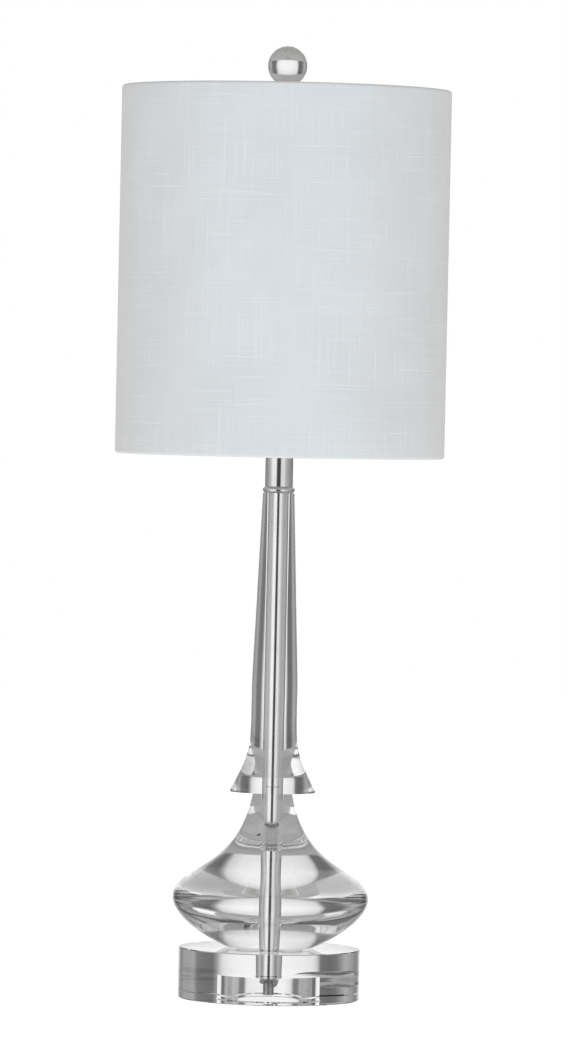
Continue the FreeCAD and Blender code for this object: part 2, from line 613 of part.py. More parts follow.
def bulb_glass():
    """Hollow frosted globe with its neck in the screw base."""
    z_open = bulb_base_top - GLASS_IN_BASE
    outside = globe_outline(0, z_open)
    inside = globe_outline(GLASS_WALL, z_open)
    outer_neck, inner_neck = GLASS_NECK_D / 2, GLASS_NECK_D / 2 - GLASS_WALL
    edges = outside + [line(at(0, 0, bulb_top), at(0, 0, bulb_top - GLASS_WALL))] + inside[::-1]
    edges.append(line(at(inner_neck, 0, z_open), at(outer_neck, 0, z_open)))
    return spun(edges)


def bulb_screw_base():
    """Threaded metal base of the bulb, a hollow shell open at the top."""
    wave_z = thread_z + BASE_THREAD_UP
    crest_r = BULB_BASE_D / 2
    mid_r = crest_r - THREAD_DEPTH / 2
    wave_top = wave_z + THREAD_TURNS * THREAD_PITCH
    collar_r = GLASS_NECK_D / 2 + SCREW_SHELL_T
    collar_z = wave_top + BASE_COLLAR_RISE
    glass_z = bulb_base_top - GLASS_IN_BASE
    edges = [
        line(at(0, 0, thread_z), at(mid_r, 0, thread_z)),
        line(at(mid_r, 0, thread_z), at(mid_r, 0, wave_z)),
        *thread_waves(crest_r, THREAD_DEPTH, wave_z, THREAD_TURNS, THREAD_PITCH),
        line(at(mid_r, 0, wave_top), at(collar_r, 0, collar_z)),
        line(at(collar_r, 0, collar_z), at(collar_r, 0, bulb_base_top)),
        line(at(collar_r, 0, bulb_base_top), at(0, 0, bulb_base_top)),
        line(at(0, 0, bulb_base_top), at(0, 0, thread_z)),
    ]
    inner_r = crest_r - THREAD_DEPTH - SCREW_SHELL_T
    shell = spun(edges).cut(rod(inner_r, thread_z + SCREW_SHELL_T, glass_z))
    return shell.cut(rod(GLASS_NECK_D / 2, glass_z, bulb_base_top + BEYOND))


def bulb_insulator():
    """Black glass cone between the screw base and the tip contact."""
    return spun(outline([
        (0, bulb_z + TIP_H), (TIP_D / 2, bulb_z + TIP_H), (BUTTON_D / 2, thread_z), (0, thread_z),
    ]))


def bulb_tip():
    """Tip contact of the bulb, a low dome with a flat end."""
    rim, flat = at(TIP_D / 2, 0, bulb_z + TIP_H), at(TIP_D / 6, 0, bulb_z)
    return spun([
        line(at(0, 0, bulb_z), flat),
        bulged((TIP_D / 6, bulb_z), (TIP_D / 2, bulb_z + TIP_H), TIP_MIDDLE),
        line(rim, at(0, 0, bulb_z + TIP_H)),
        line(at(0, 0, bulb_z + TIP_H), at(0, 0, bulb_z)),
    ])


def bulb_stem():
    """Glass stem that carries the filament."""
    stem_z = thread_z + SCREW_SHELL_T
    return rod(STEM_D / 2, stem_z, stem_z + BULB_BASE_H + STEM_H)


def bulb_filament():
    """Filament on its two support wires, which stand on the stem."""
    stem_top = thread_z + SCREW_SHELL_T + BULB_BASE_H + STEM_H
    foot_x, half_span = STEM_D / 4, FILAMENT_SPAN / 2
    right = [at(foot_x, 0, stem_top), at(foot_x, 0, stem_top + FILAMENT_UPRIGHT),
             at(half_span, 0, stem_top + FILAMENT_HOOK)]
    top = at(0, 0, stem_top + FILAMENT_RISE)
    left = [at(-p.x, 0, p.z) for p in reversed(right)]
    bends = [FILAMENT_BEND_R, FILAMENT_BEND_R]
    path = rounded_path(right + [top] + left, bends + [FILAMENT_ARCH_R] + bends)
    return bent_wire(path, FILAMENT_WIRE_D)


# ---------------------------------------------------------------- shade and spider
def shade_fabric():
    """Linen skin of the drum, rolled in over the ring wires at both rims."""
    out_r, in_r = shade_r, shade_r - FABRIC_T
    lip_out, lip_in = ring_r - roll_in_r, ring_r - roll_r
    low, high = bottom_ring_z, top_ring_z
    return spun([
        line(at(out_r, 0, low), at(out_r, 0, high)),
        arc(at(out_r, 0, high), at(ring_r, 0, high + roll_r), at(lip_in, 0, high)),
        line(at(lip_in, 0, high), at(lip_in, 0, high - HEM_TOP)),
        line(at(lip_in, 0, high - HEM_TOP), at(lip_out, 0, high - HEM_TOP)),
        line(at(lip_out, 0, high - HEM_TOP), at(lip_out, 0, high)),
        arc(at(lip_out, 0, high), at(ring_r, 0, high + roll_in_r), at(in_r, 0, high)),
        line(at(in_r, 0, high), at(in_r, 0, low)),
        arc(at(in_r, 0, low), at(ring_r, 0, low - roll_in_r), at(lip_out, 0, low)),
        line(at(lip_out, 0, low), at(lip_out, 0, low + HEM_BOTTOM)),
        line(at(lip_out, 0, low + HEM_BOTTOM), at(lip_in, 0, low + HEM_BOTTOM)),
        line(at(lip_in, 0, low + HEM_BOTTOM), at(lip_in, 0, low)),
        arc(at(lip_in, 0, low), at(ring_r, 0, low - roll_r), at(out_r, 0, low)),
    ])


def shade_liner():
    """Stiff white lining of the drum, between the two ring wires."""
    inset = RING_WIRE_D / 2 + MOVING_GAP
    return tube(liner_r, liner_r - LINER_T, bottom_ring_z + inset, top_ring_z - inset)


def ring_wire(height):
    return Part.makeTorus(ring_r, RING_WIRE_D / 2, at(0, 0, height))


def spider_arms():
    """Wire arms from the hub washer out and up to the top ring."""
    wire_r = ARM_WIRE_D / 2
    low = hub_z - wire_r + WELD
    high = top_ring_z - RING_WIRE_D / 2 - wire_r + WELD
    inner_end = STUD_FLANGE_D / 2 + ARM_END_GAP
    path = rounded_path([
        at(inner_end, 0, low), at(ring_r - ARM_BEND_IN, 0, low), at(ring_r - ARM_BEND_OUT, 0, high),
        at(ring_r + WELD, 0, high),
    ], [ARM_BEND_R, ARM_BEND_R])
    arm = bent_wire(path, ARM_WIRE_D)
    step = 360.0 / ARM_COUNT
    return Part.makeCompound([turned(arm, FIRST_ARM_AZIMUTH + k * step) for k in range(ARM_COUNT)])


def spider_hub():
    """Hub washer that sits on the harp's stud."""
    return tube(HUB_D / 2, STUD_THREAD_D / 2 + STUD_GAP, hub_z, hub_z + HUB_T)


# ---------------------------------------------------------------- finial
def finial_base():
    """Turned metal base, tapped for the stud, that carries the ball."""
    neck_z0 = finial_z + FINIAL_FLANGE_T
    cup_z = ball_flat_z - FINIAL_CUP_H
    waist = (FINIAL_STEM_D / 2, (neck_z0 + cup_z) / 2)
    edges = outline([(0, finial_z), (FINIAL_FLANGE_D / 2, finial_z), (FINIAL_FLANGE_D / 2, neck_z0)])[:2]
    edges += [
        arc(at(FINIAL_FLANGE_D / 2, 0, neck_z0), at(waist[0], 0, waist[1]), at(FINIAL_CUP_D / 2, 0, cup_z)),
        line(at(FINIAL_CUP_D / 2, 0, cup_z), at(FINIAL_CUP_D / 2, 0, ball_flat_z)),
        line(at(FINIAL_CUP_D / 2, 0, ball_flat_z), at(0, 0, ball_flat_z)),
        line(at(0, 0, ball_flat_z), at(0, 0, finial_z)),
    ]
    hole_top = seat_z + STUD_THREAD_H + STUD_TIP_GAP
    return spun(edges).cut(rod(STUD_THREAD_D / 2 + STUD_GAP, finial_z - BEYOND, hole_top))


def finial_ball():
    """Crystal ball with a small flat where it is bonded to its base."""
    ball = Part.makeSphere(BALL_D / 2, at(0, 0, ball_z))
    return ball.cut(rod(BALL_D / 2, ball_z - BALL_D / 2 - BEYOND, ball_flat_z))


# ---------------------------------------------------------------- the assembly
parts = {
    "foot_pads": foot_pads(),
    "base_disc": base_disc(),
    "cord_bushing": cord_bushing(),
    "base_nut": hexagon_nut(NUT_FLATS, rod_hole_r, base_nut_z, BASE_NUT_H),
    "base_lock_washer": split_lock_washer(),
    "base_clamp_washer": tube(CLAMP_D / 2, rod_hole_r, clamp_z, rubber_z),
    "base_rubber_washer": tube(RUBBER_D / 2, rod_hole_r, rubber_z, recess_z),
    "lower_gasket": tube(GASKET_D / 2, sleeve_r + DISC_BORE_GAP, disc_top, vase_z),
    "crystal_vase": crystal_vase(),
    "upper_gasket": tube(GASKET_D / 2, sleeve_r + VASE_BORE_GAP, vase_top, column_z),
    "crystal_column": crystal_column(),
    "centre_sleeve": tube(sleeve_r, sleeve_in_r, recess_z, column_top - SLEEVE_TOP_GAP),
    "threaded_rod": tube(rod_r, ROD_BORE_D / 2, rod_z, rod_top),
    "neck_ring": neck_ring(),
    "neck_tube": tube(NECK_D / 2, neck_in_r, neck_z, neck_top),
    "neck_cap": neck_cap(),
    "harp_saddle": harp_saddle(),
    "saddle_nut": hexagon_nut(NUT_FLATS, rod_hole_r, saddle_nut_z, SADDLE_NUT_H),
    "harp_bow": harp_bow(),
    "harp_stud": harp_stud(),
    "ferrule_left": ferrule(-1),
    "ferrule_right": ferrule(1),
    "socket_cap": socket_cap(),
    "cap_set_screw": cap_set_screw(),
    "socket_shell": socket_shell(),
    "paper_insulator": paper_insulator(),
    "switch_body": switch_body(),
    "terminal_screws": terminal_screws(),
    "screw_shell": screw_shell(),
    "centre_contact": centre_contact(),
    "switch_shaft": switch_shaft(),
    "switch_knob": switch_knob(),
    "bulb_glass": bulb_glass(),
    "bulb_screw_base": bulb_screw_base(),
    "bulb_insulator": bulb_insulator(),
    "bulb_tip": bulb_tip(),
    "bulb_stem": bulb_stem(),
    "bulb_filament": bulb_filament(),
    "shade_fabric": shade_fabric(),
    "shade_liner": shade_liner(),
    "top_ring": ring_wire(top_ring_z),
    "bottom_ring": ring_wire(bottom_ring_z),
    "spider_arms": spider_arms(),
    "spider_hub": spider_hub(),
    "finial_base": finial_base(),
    "finial_ball": finial_ball(),
}

os.makedirs("parts", exist_ok=True)
for node, shape in parts.items():
    shape.exportStep("parts/" + node + ".step")
    print(f"{node:20s} solids {len(shape.Solids)} valid {shape.isValid()} volume {shape.Volume:12.1f}")
print(f"overall height {ball_z + BALL_D / 2:.1f}")
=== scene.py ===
import math

import bmesh
import bpy
from mathutils import Matrix, Vector


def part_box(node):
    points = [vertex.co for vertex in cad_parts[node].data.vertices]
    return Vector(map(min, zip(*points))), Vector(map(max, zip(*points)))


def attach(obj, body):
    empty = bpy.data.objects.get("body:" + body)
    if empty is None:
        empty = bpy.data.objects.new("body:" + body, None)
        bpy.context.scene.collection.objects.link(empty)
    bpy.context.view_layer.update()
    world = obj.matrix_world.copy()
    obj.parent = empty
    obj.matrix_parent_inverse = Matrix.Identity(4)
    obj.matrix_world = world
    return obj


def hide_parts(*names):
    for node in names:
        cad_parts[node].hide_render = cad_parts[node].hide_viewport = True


# Candlestick table lamp in turned crystal and chrome, with a linen drum shade.
# Metres. +Z is up, the axis is the Z axis, the front is -Y.

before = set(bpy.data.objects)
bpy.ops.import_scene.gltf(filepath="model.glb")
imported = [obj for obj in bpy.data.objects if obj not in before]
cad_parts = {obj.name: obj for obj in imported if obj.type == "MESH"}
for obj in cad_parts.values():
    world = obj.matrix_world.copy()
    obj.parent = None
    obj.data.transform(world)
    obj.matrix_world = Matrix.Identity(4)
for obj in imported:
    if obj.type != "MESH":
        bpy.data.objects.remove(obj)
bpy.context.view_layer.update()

# ---------------------------------------------------------------- sizes
# Bores of the crystals, each a little wider than the sleeve
SLEEVE_R = 0.006
DISC_BORE_GAP, VASE_BORE_GAP, COLUMN_BORE_GAP = 0.0018, 0.0008, 0.0006
DISC_BORE_R = SLEEVE_R + DISC_BORE_GAP
VASE_BORE_R = SLEEVE_R + VASE_BORE_GAP
COLUMN_BORE_R = SLEEVE_R + COLUMN_BORE_GAP

# Outlines of the crystals. The handles of a curve are (width, height) shares of its stretch
RECESS_R, RECESS_H = 0.0305, 0.022
CORD_HOLE_R, CORD_HOLE_UP, CORD_HOLE_AZIMUTH = 0.006, 0.0145, 81.0
DISC_CHAMFER, CRYSTAL_EDGE = 0.0007, 0.0004
SEAT_GAP = 0.00006          # film of air between a crystal and its gasket or pads
VASE_FOOT_R, VASE_NECK_R, VASE_BELLY_UP = 0.0403, 0.0178, 0.0436
COLUMN_FOOT_R, COLUMN_WAIST_R, COLUMN_TOP_R, COLUMN_FLARE_H = 0.0392, 0.02085, 0.0143, 0.082
VASE_LOWER_HANDLES = ((0.847, 0.431), (0.0, 0.160))
VASE_UPPER_HANDLES = ((0.0, 0.307), (0.184, 0.770))
FLARE_HANDLES = ((0.993, 0.449), (0.0, 0.574))
SHAFT_HANDLES = ((0.0, 0.150), (0.948, 0.888))
BALL_FLAT_R = 0.0063
CORD_HOLE_SIDES = 64

# Chrome pieces
ROD_HOLE_R = 0.0052
NECK_WALL, SPIGOT_GAP = 0.001, 0.00015
RING_BULGE = 0.002
METAL_EDGE = 0.0003

# Shade cloth: skin on the drum, rolled in over the ring wires
CLOTH_T = 0.0006
ROLL_R = 0.0026
HEM_TOP, HEM_BOTTOM = 0.0008, 0.006
LAP_W, LAP_AZIMUTH = 0.012, 90.0
LAP_INSET = 0.0003        # the lap's rear face lies this far inside the skin
LAP_BEVEL = 8             # power by which the lap thins out towards its edges

TURN_STEPS = 192          # steps round a fine turned piece
CURVE_STEPS = 96          # steps along each stretch of its outline
BALL_STEPS = 64           # steps along the ball's outline
BEAD_STEPS = 24           # steps along the bead ring's bulge
ROLL_STEPS = 16           # steps round each roll of the shade cloth
CLOTH_ROWS = 24           # rows up the drum
LAP_STEPS = 12            # steps across the lap


# ---------------------------------------------------------------- node helpers
class Nodes:
    """Short calls for building one node tree."""

    def __init__(self, tree):
        self.tree = tree
        tree.nodes.clear()

    def add(self, kind, **settings):
        node = self.tree.nodes.new(kind)
        for key, value in settings.items():
            setattr(node, key, value)
        return node

    def feed(self, socket, value):
        """Links an output to a socket, or sets the socket to a constant."""
        if isinstance(value, bpy.types.NodeSocket):
            self.tree.links.new(value, socket)
        else:
            socket.default_value = value

    def math(self, operation, first, second=0.0, third=0.0):
        node = self.add("ShaderNodeMath", operation=operation)
        for socket, value in zip(node.inputs, (first, second, third)):
            self.feed(socket, value)
        return node.outputs[0]

    def smooth(self, value, low, high, to_low=0.0, to_high=1.0):
        """Smooth step of a value from low to high."""
        node = self.add("ShaderNodeMapRange", interpolation_type="SMOOTHSTEP")
        for name, item in (("Value", value), ("From Min", low), ("From Max", high),
                           ("To Min", to_low), ("To Max", to_high)):
            self.feed(node.inputs[name], item)
        return node.outputs["Result"]

    def blend(self, share, first, second):
        """Mix of two colours."""
        node = self.add("ShaderNodeMix", data_type="RGBA")
        self.feed(node.inputs["Factor"], share)
        self.feed(node.inputs[6], first)
        self.feed(node.inputs[7], second)
        return node.outputs[2]

    def noise(self, vector, scale, detail=2.0, roughness=0.5):
        node = self.add("ShaderNodeTexNoise")
        self.feed(node.inputs["Vector"], vector)
        node.inputs["Scale"].default_value = scale
        node.inputs["Detail"].default_value = detail
        node.inputs["Roughness"].default_value = roughness
        return node.outputs["Fac"]

    def vector(self, x, y, z):
        node = self.add("ShaderNodeCombineXYZ")
        for socket, value in zip(node.inputs, (x, y, z)):
            self.feed(socket, value)
        return node.outputs[0]

    def place(self):
        """Object coordinates and their three parts."""
        point = self.add("ShaderNodeTexCoord").outputs["Object"]
        parts = self.add("ShaderNodeSeparateXYZ")
        self.feed(parts.inputs[0], point)
        return point, parts.outputs[0], parts.outputs[1], parts.outputs[2]

    def ramp(self, factor, stops, interpolation="LINEAR"):
        """Colour ramp from (position, colour) stops."""
        node = self.add("ShaderNodeValToRGB")
        node.color_ramp.interpolation = interpolation
        elements = node.color_ramp.elements
        while len(elements) < len(stops):
            elements.new(1.0)
        for element, (position, colour) in zip(elements, stops):
            element.position = position
            element.color = (*colour, 1.0)
        self.feed(node.inputs["Fac"], factor)
        return node.outputs["Color"]

    def bump(self, height, strength, distance):
        node = self.add("ShaderNodeBump")
        node.inputs["Strength"].default_value = strength
        node.inputs["Distance"].default_value = distance
        self.feed(node.inputs["Height"], height)
        return node.outputs["Normal"]

    def finish(self, shader, kind="ShaderNodeOutputMaterial"):
        self.tree.links.new(shader, self.add(kind).inputs["Surface"])


def linear(srgb):
    """Linear light of an sRGB value from 0 to 255."""
    share = srgb / 255
    return share / 12.92 if share <= 0.04045 else ((share + 0.055) / 1.055) ** 2.4


def grey(srgb):
    return (linear(srgb),) * 3


def principled(nodes, colour, rough, bump=None, **constants):
    """Principled shader from a colour output. The constants are set on its own sockets."""
    shader = nodes.add("ShaderNodeBsdfPrincipled")
    nodes.feed(shader.inputs["Base Color"], colour)
    nodes.feed(shader.inputs["Roughness"], rough)
    if bump is not None:
        nodes.feed(shader.inputs["Normal"], bump)
    for key, value in constants.items():
        shader.inputs[key.replace("_", " ")].default_value = value
    return shader.outputs["BSDF"]


def new_material(name):
    material = bpy.data.materials.new(name)
    material.use_nodes = True
    return material, Nodes(material.node_tree)


# ---------------------------------------------------------------- materials
TURNING_MARKS = 9000.0     # a metre
WEAVE_TURNS = 3600.0       # radians a metre


def crystal_material():
    """Clear polished crystal with the faintest unevenness of hand polishing."""
    material, n = new_material("clear_crystal")
    point = n.place()[0]
    polish = n.bump(n.noise(point, 25.0, 1.0), 0.01, 0.0002)
    cast = n.ramp(n.noise(point, 14.0), [(0.3, (0.975, 0.980, 0.975)), (0.7, (0.990, 0.990, 0.988))])
    n.finish(principled(n, cast, 0.0, polish, Transmission_Weight=1.0, IOR=1.52))
    return material


def plated_material(name, colour, rough, wear, scale):
    """Plated or polished metal: its colour and roughness vary softly with wear."""
    material, n = new_material(name)
    point = n.place()[0]
    patches = n.noise(point, scale, 4.0, 0.6)
    dull = tuple(0.88 * part for part in colour)
    shade = n.ramp(patches, [(0.35, dull), (0.65, colour)])
    roughness = n.smooth(patches, 0.3, 0.8, rough, rough + wear)
    n.finish(principled(n, shade, roughness, n.bump(patches, 0.05, 0.0001), Metallic=1.0))
    return material


def turned_steel_material(name, colour, rough):
    """Steel with fine turning marks round the axis."""
    material, n = new_material(name)
    point, x, y, z = n.place()
    radius = n.math("SQRT", n.math("ADD", n.math("MULTIPLY", x, x), n.math("MULTIPLY", y, y)))
    grooves = n.vector(n.math("MULTIPLY", radius, TURNING_MARKS), n.math("MULTIPLY", z, TURNING_MARKS), 0.0)
    marks = n.noise(grooves, 1.0, 1.0)
    shade = n.ramp(n.noise(point, 90.0, 4.0), [(0.3, tuple(0.8 * part for part in colour)), (0.7, colour)])
    n.finish(principled(n, shade, n.smooth(marks, 0.2, 0.8, rough, rough + 0.15),
                        n.bump(marks, 0.15, 0.0001), Metallic=1.0))
    return material


def moulded_material(name, colour, rough, grain, **constants):
    """Moulded plastic, rubber or paper: soft mottling and a fine grain."""
    material, n = new_material(name)
    point = n.place()[0]
    mottle = n.noise(point, 45.0, 4.0)
    darker = tuple(0.86 * part for part in colour)
    shade = n.ramp(mottle, [(0.3, darker), (0.7, colour)])
    skin = n.noise(point, 1800.0, 2.0)
    n.finish(principled(n, shade, n.smooth(mottle, 0.2, 0.8, rough, rough + 0.12),
                        n.bump(skin, grain, 0.0002), **constants))
    return material


def clear_material(name, rough, ior, colour):
    """Clear or frosted glass or plastic."""
    material, n = new_material(name)
    point = n.place()[0]
    cast = n.ramp(n.noise(point, 30.0), [(0.3, tuple(0.97 * part for part in colour)), (0.7, colour)])
    n.finish(principled(n, cast, rough, n.bump(n.noise(point, 700.0, 2.0), 0.06, 0.0002),
                        Transmission_Weight=1.0, IOR=ior))
    return material


def linen_material(drum_r):
    """Off-white slub linen: fine weave with painted shade between its threads, and thicker threads running
    along and up the drum.
    """
    material, n = new_material("slub_linen")
    point, x, y, z = n.place()
    along = n.math("MULTIPLY", n.math("ARCTAN2", x, n.math("MULTIPLY", y, -1.0)), drum_r)

    def threads(per_metre_along, per_metre_up, low, high, shift):
        """Sparse lines where a stretched noise peaks."""
        where = n.vector(n.math("MULTIPLY_ADD", along, per_metre_along, shift),
                         n.math("MULTIPLY", z, per_metre_up), shift)
        return n.smooth(n.noise(where, 1.0, 3.0, 0.55), low, high)

    level = threads(11.0, 640.0, 0.60, 0.74, 0.0)
    upright = threads(640.0, 11.0, 0.60, 0.74, 7.0)
    faint_level = threads(9.0, 900.0, 0.50, 0.70, 31.0)
    faint_upright = threads(900.0, 9.0, 0.50, 0.70, 43.0)
    dark_level = threads(14.0, 760.0, 0.66, 0.76, 13.0)
    dark_upright = threads(760.0, 14.0, 0.66, 0.76, 21.0)
    raised = n.math("MAXIMUM", level, upright)
    faint = n.math("MAXIMUM", faint_level, faint_upright)
    sunk = n.math("MAXIMUM", dark_level, dark_upright)
    weave = n.math("MULTIPLY",
                   n.math("ABSOLUTE", n.math("SINE", n.math("MULTIPLY", along, WEAVE_TURNS))),
                   n.math("ABSOLUTE", n.math("SINE", n.math("MULTIPLY", z, WEAVE_TURNS))))
    cloud = n.noise(point, 18.0, 3.0)
    cloth = n.ramp(cloud, [(0.3, (0.662, 0.660, 0.650)), (0.7, (0.700, 0.698, 0.688))])
    pale, dark, shadow = (0.86, 0.865, 0.86, 1.0), (0.50, 0.495, 0.485, 1.0), (0.62, 0.62, 0.61, 1.0)
    cloth = n.blend(n.math("MULTIPLY", faint, 0.22), cloth, pale)
    cloth = n.blend(n.math("MULTIPLY", raised, 0.60), cloth, pale)
    cloth = n.blend(n.math("MULTIPLY", sunk, 0.30), cloth, dark)
    # painted shade: the cloth is darkened towards the shadow colour in the gaps between the weave's threads
    cloth = n.blend(n.math("MULTIPLY_ADD", weave, -0.10, 0.08), cloth, shadow)
    slubs = n.math("MULTIPLY_ADD", raised, 0.7, n.math("MULTIPLY", sunk, -0.3))
    height = n.math("ADD", n.math("MULTIPLY", weave, 0.5), slubs)
    n.finish(principled(n, cloth, 0.88, n.bump(height, 0.35, 0.0003), Sheen_Weight=0.15, Sheen_Roughness=0.5))
    return material


# ---------------------------------------------------------------- mesh helpers
def curve_points(start, end, handles, steps):
    """Points along one handled curve, from start up to but not including end."""
    (first_across, first_up), (last_across, last_up) = handles
    width, height = end[0] - start[0], end[1] - start[1]
    poles = [
        Vector(start),
        Vector((start[0] + first_across * width, start[1] + first_up * height)),
        Vector((end[0] - last_across * width, end[1] - last_up * height)),
        Vector(end),
    ]
    points = []
    for k in range(steps):
        t = k / steps
        s = 1 - t
        shares = (s ** 3, 3 * s * s * t, 3 * s * t * t, t ** 3)
        points.append(tuple(sum((share * pole for share, pole in zip(shares, poles)), Vector((0.0, 0.0)))))
    return points


def arc_points(centre, radius, start, end, steps):
    """Points on an arc in (radius, height), angles in degrees from outward, both ends included."""
    angles = [math.radians(start + (end - start) * k / steps) for k in range(steps + 1)]
    return [(centre[0] + radius * math.cos(a), centre[1] + radius * math.sin(a)) for a in angles]


def turned_mesh(name, outline, steps):
    """Closed mesh of revolution about Z. The outline's first point follows its last."""
    bm = bmesh.new()
    turns = [2 * math.pi * k / steps for k in range(steps)]
    rings = []
    for radius, height in outline:
        if radius < 1e-7:
            rings.append([bm.verts.new((0, 0, height))] * steps)
        else:
            rings.append([bm.verts.new((radius * math.cos(a), radius * math.sin(a), height)) for a in turns])
    for here, above in zip(rings, rings[1:] + rings[:1]):
        for k in range(steps):
            corners = [here[k], here[(k + 1) % steps], above[(k + 1) % steps], above[k]]
            corners = [v for i, v in enumerate(corners) if v not in corners[:i]]
            if len(corners) > 2:
                bm.faces.new(corners)
    bmesh.ops.recalc_face_normals(bm, faces=bm.faces)
    mesh = bpy.data.meshes.new(name)
    bm.to_mesh(mesh)
    bm.free()
    return mesh


def add_piece(name, mesh, material, body, stands_for=(), sharp=30.0):
    """Object from a mesh, smooth but for its sharp edges, riding on a body."""
    mesh.shade_smooth()
    mesh.set_sharp_from_angle(angle=math.radians(sharp))
    mesh.materials.append(material)
    piece = bpy.data.objects.new(name, mesh)
    bpy.context.scene.collection.objects.link(piece)
    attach(piece, body)
    if stands_for:
        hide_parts(*stands_for)
    return piece


def chamfered(points, size):
    """Outline with each of its corners cut by a size."""
    result = []
    for k, corner in enumerate(points):
        corner = Vector(corner)
        for other in (Vector(points[k - 1]), Vector(points[(k + 1) % len(points)])):
            result.append(tuple(corner + (other - corner).normalized() * size))
    return result


# ---------------------------------------------------------------- crystal
def cut_cord_hole(mesh, disc_r, disc_z):
    """Cuts the cord hole through the disc's wall into the recess."""
    azimuth = math.radians(CORD_HOLE_AZIMUTH)
    along = Vector((math.cos(azimuth), math.sin(azimuth), 0))
    cutter_mesh = bpy.data.meshes.new("cord_hole_cutter")
    bm = bmesh.new()
    turn = along.to_track_quat("Z", "Y").to_matrix().to_4x4()
    middle = along * (disc_r + RECESS_R) / 2 + Vector((0, 0, disc_z + CORD_HOLE_UP))
    bmesh.ops.create_cone(bm, cap_ends=True, segments=CORD_HOLE_SIDES, radius1=CORD_HOLE_R,
                          radius2=CORD_HOLE_R, depth=disc_r, matrix=Matrix.Translation(middle) @ turn)
    bm.to_mesh(cutter_mesh)
    bm.free()
    cutter = bpy.data.objects.new("cord_hole_cutter", cutter_mesh)
    holder = bpy.data.objects.new("cord_hole_disc", mesh)
    for item in (cutter, holder):
        bpy.context.scene.collection.objects.link(item)
    boolean = holder.modifiers.new("cut", "BOOLEAN")
    boolean.object, boolean.operation, boolean.solver = cutter, "DIFFERENCE", "EXACT"
    bpy.context.view_layer.update()
    result = bpy.data.meshes.new_from_object(holder.evaluated_get(bpy.context.evaluated_depsgraph_get()))
    bpy.data.objects.remove(holder)
    bpy.data.objects.remove(cutter)
    return result


def base_disc(material):
    low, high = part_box("base_disc")
    disc_r, bottom, top = high[0], low[2] + SEAT_GAP, high[2] - SEAT_GAP
    roof = low[2] + RECESS_H
    corners = [(RECESS_R, bottom), (disc_r, bottom), (disc_r, top), (DISC_BORE_R, top)]
    outline = chamfered(corners, DISC_CHAMFER)
    outline[0] = (RECESS_R, bottom + DISC_CHAMFER)
    outline += [(DISC_BORE_R, roof), (RECESS_R, roof)]
    mesh = turned_mesh("crystal_disc", outline, TURN_STEPS)
    mesh = cut_cord_hole(mesh, disc_r, low[2])
    return add_piece("crystal_disc", mesh, material, "stand", ["base_disc"])


def vase(material):
    low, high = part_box("crystal_vase")
    bottom, top = low[2] + SEAT_GAP, high[2] - SEAT_GAP
    foot, belly = (VASE_FOOT_R, bottom), (high[0], low[2] + VASE_BELLY_UP)
    neck = (VASE_NECK_R, top)
    outline = [(VASE_BORE_R, bottom), (VASE_FOOT_R - CRYSTAL_EDGE, bottom)]
    outline += curve_points(foot, belly, VASE_LOWER_HANDLES, CURVE_STEPS)[1:]
    outline += curve_points(belly, neck, VASE_UPPER_HANDLES, CURVE_STEPS)
    outline += [(VASE_NECK_R, top - CRYSTAL_EDGE), (VASE_NECK_R - CRYSTAL_EDGE, top), (VASE_BORE_R, top)]
    mesh = turned_mesh("crystal_bulb_vase", outline, TURN_STEPS)
    return add_piece("crystal_bulb_vase", mesh, material, "stand", ["crystal_vase"])


def column(material):
    low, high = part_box("crystal_column")
    bottom = low[2] + SEAT_GAP
    foot, waist = (COLUMN_FOOT_R, bottom), (COLUMN_WAIST_R, low[2] + COLUMN_FLARE_H)
    top = (COLUMN_TOP_R, high[2])
    outline = [(COLUMN_BORE_R, bottom), (COLUMN_FOOT_R - CRYSTAL_EDGE, bottom)]
    outline += curve_points(foot, waist, FLARE_HANDLES, CURVE_STEPS)[1:]
    outline += curve_points(waist, top, SHAFT_HANDLES, CURVE_STEPS)
    outline += [(COLUMN_TOP_R, high[2] - CRYSTAL_EDGE), (COLUMN_TOP_R - CRYSTAL_EDGE, high[2]),
                (COLUMN_BORE_R, high[2])]
    mesh = turned_mesh("crystal_shaft", outline, TURN_STEPS)
    return add_piece("crystal_shaft", mesh, material, "stand", ["crystal_column"])


def ball(material):
    low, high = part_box("finial_ball")
    radius = high[0]
    centre = (0.0, high[2] - radius)
    lowest = -math.degrees(math.acos(BALL_FLAT_R / radius))
    outline = [(0.0, low[2])] + arc_points(centre, radius, lowest, 90.0, BALL_STEPS)
    outline[-1] = (0.0, high[2])
    mesh = turned_mesh("crystal_finial_ball", outline, TURN_STEPS)
    return add_piece("crystal_finial_ball", mesh, material, "finial", ["finial_ball"])


# ---------------------------------------------------------------- chrome
def chrome_piece(name, outline, material, node):
    """Turned chrome piece of the stand."""
    return add_piece(name, turned_mesh(name, outline, TURN_STEPS), material, "stand", [node])


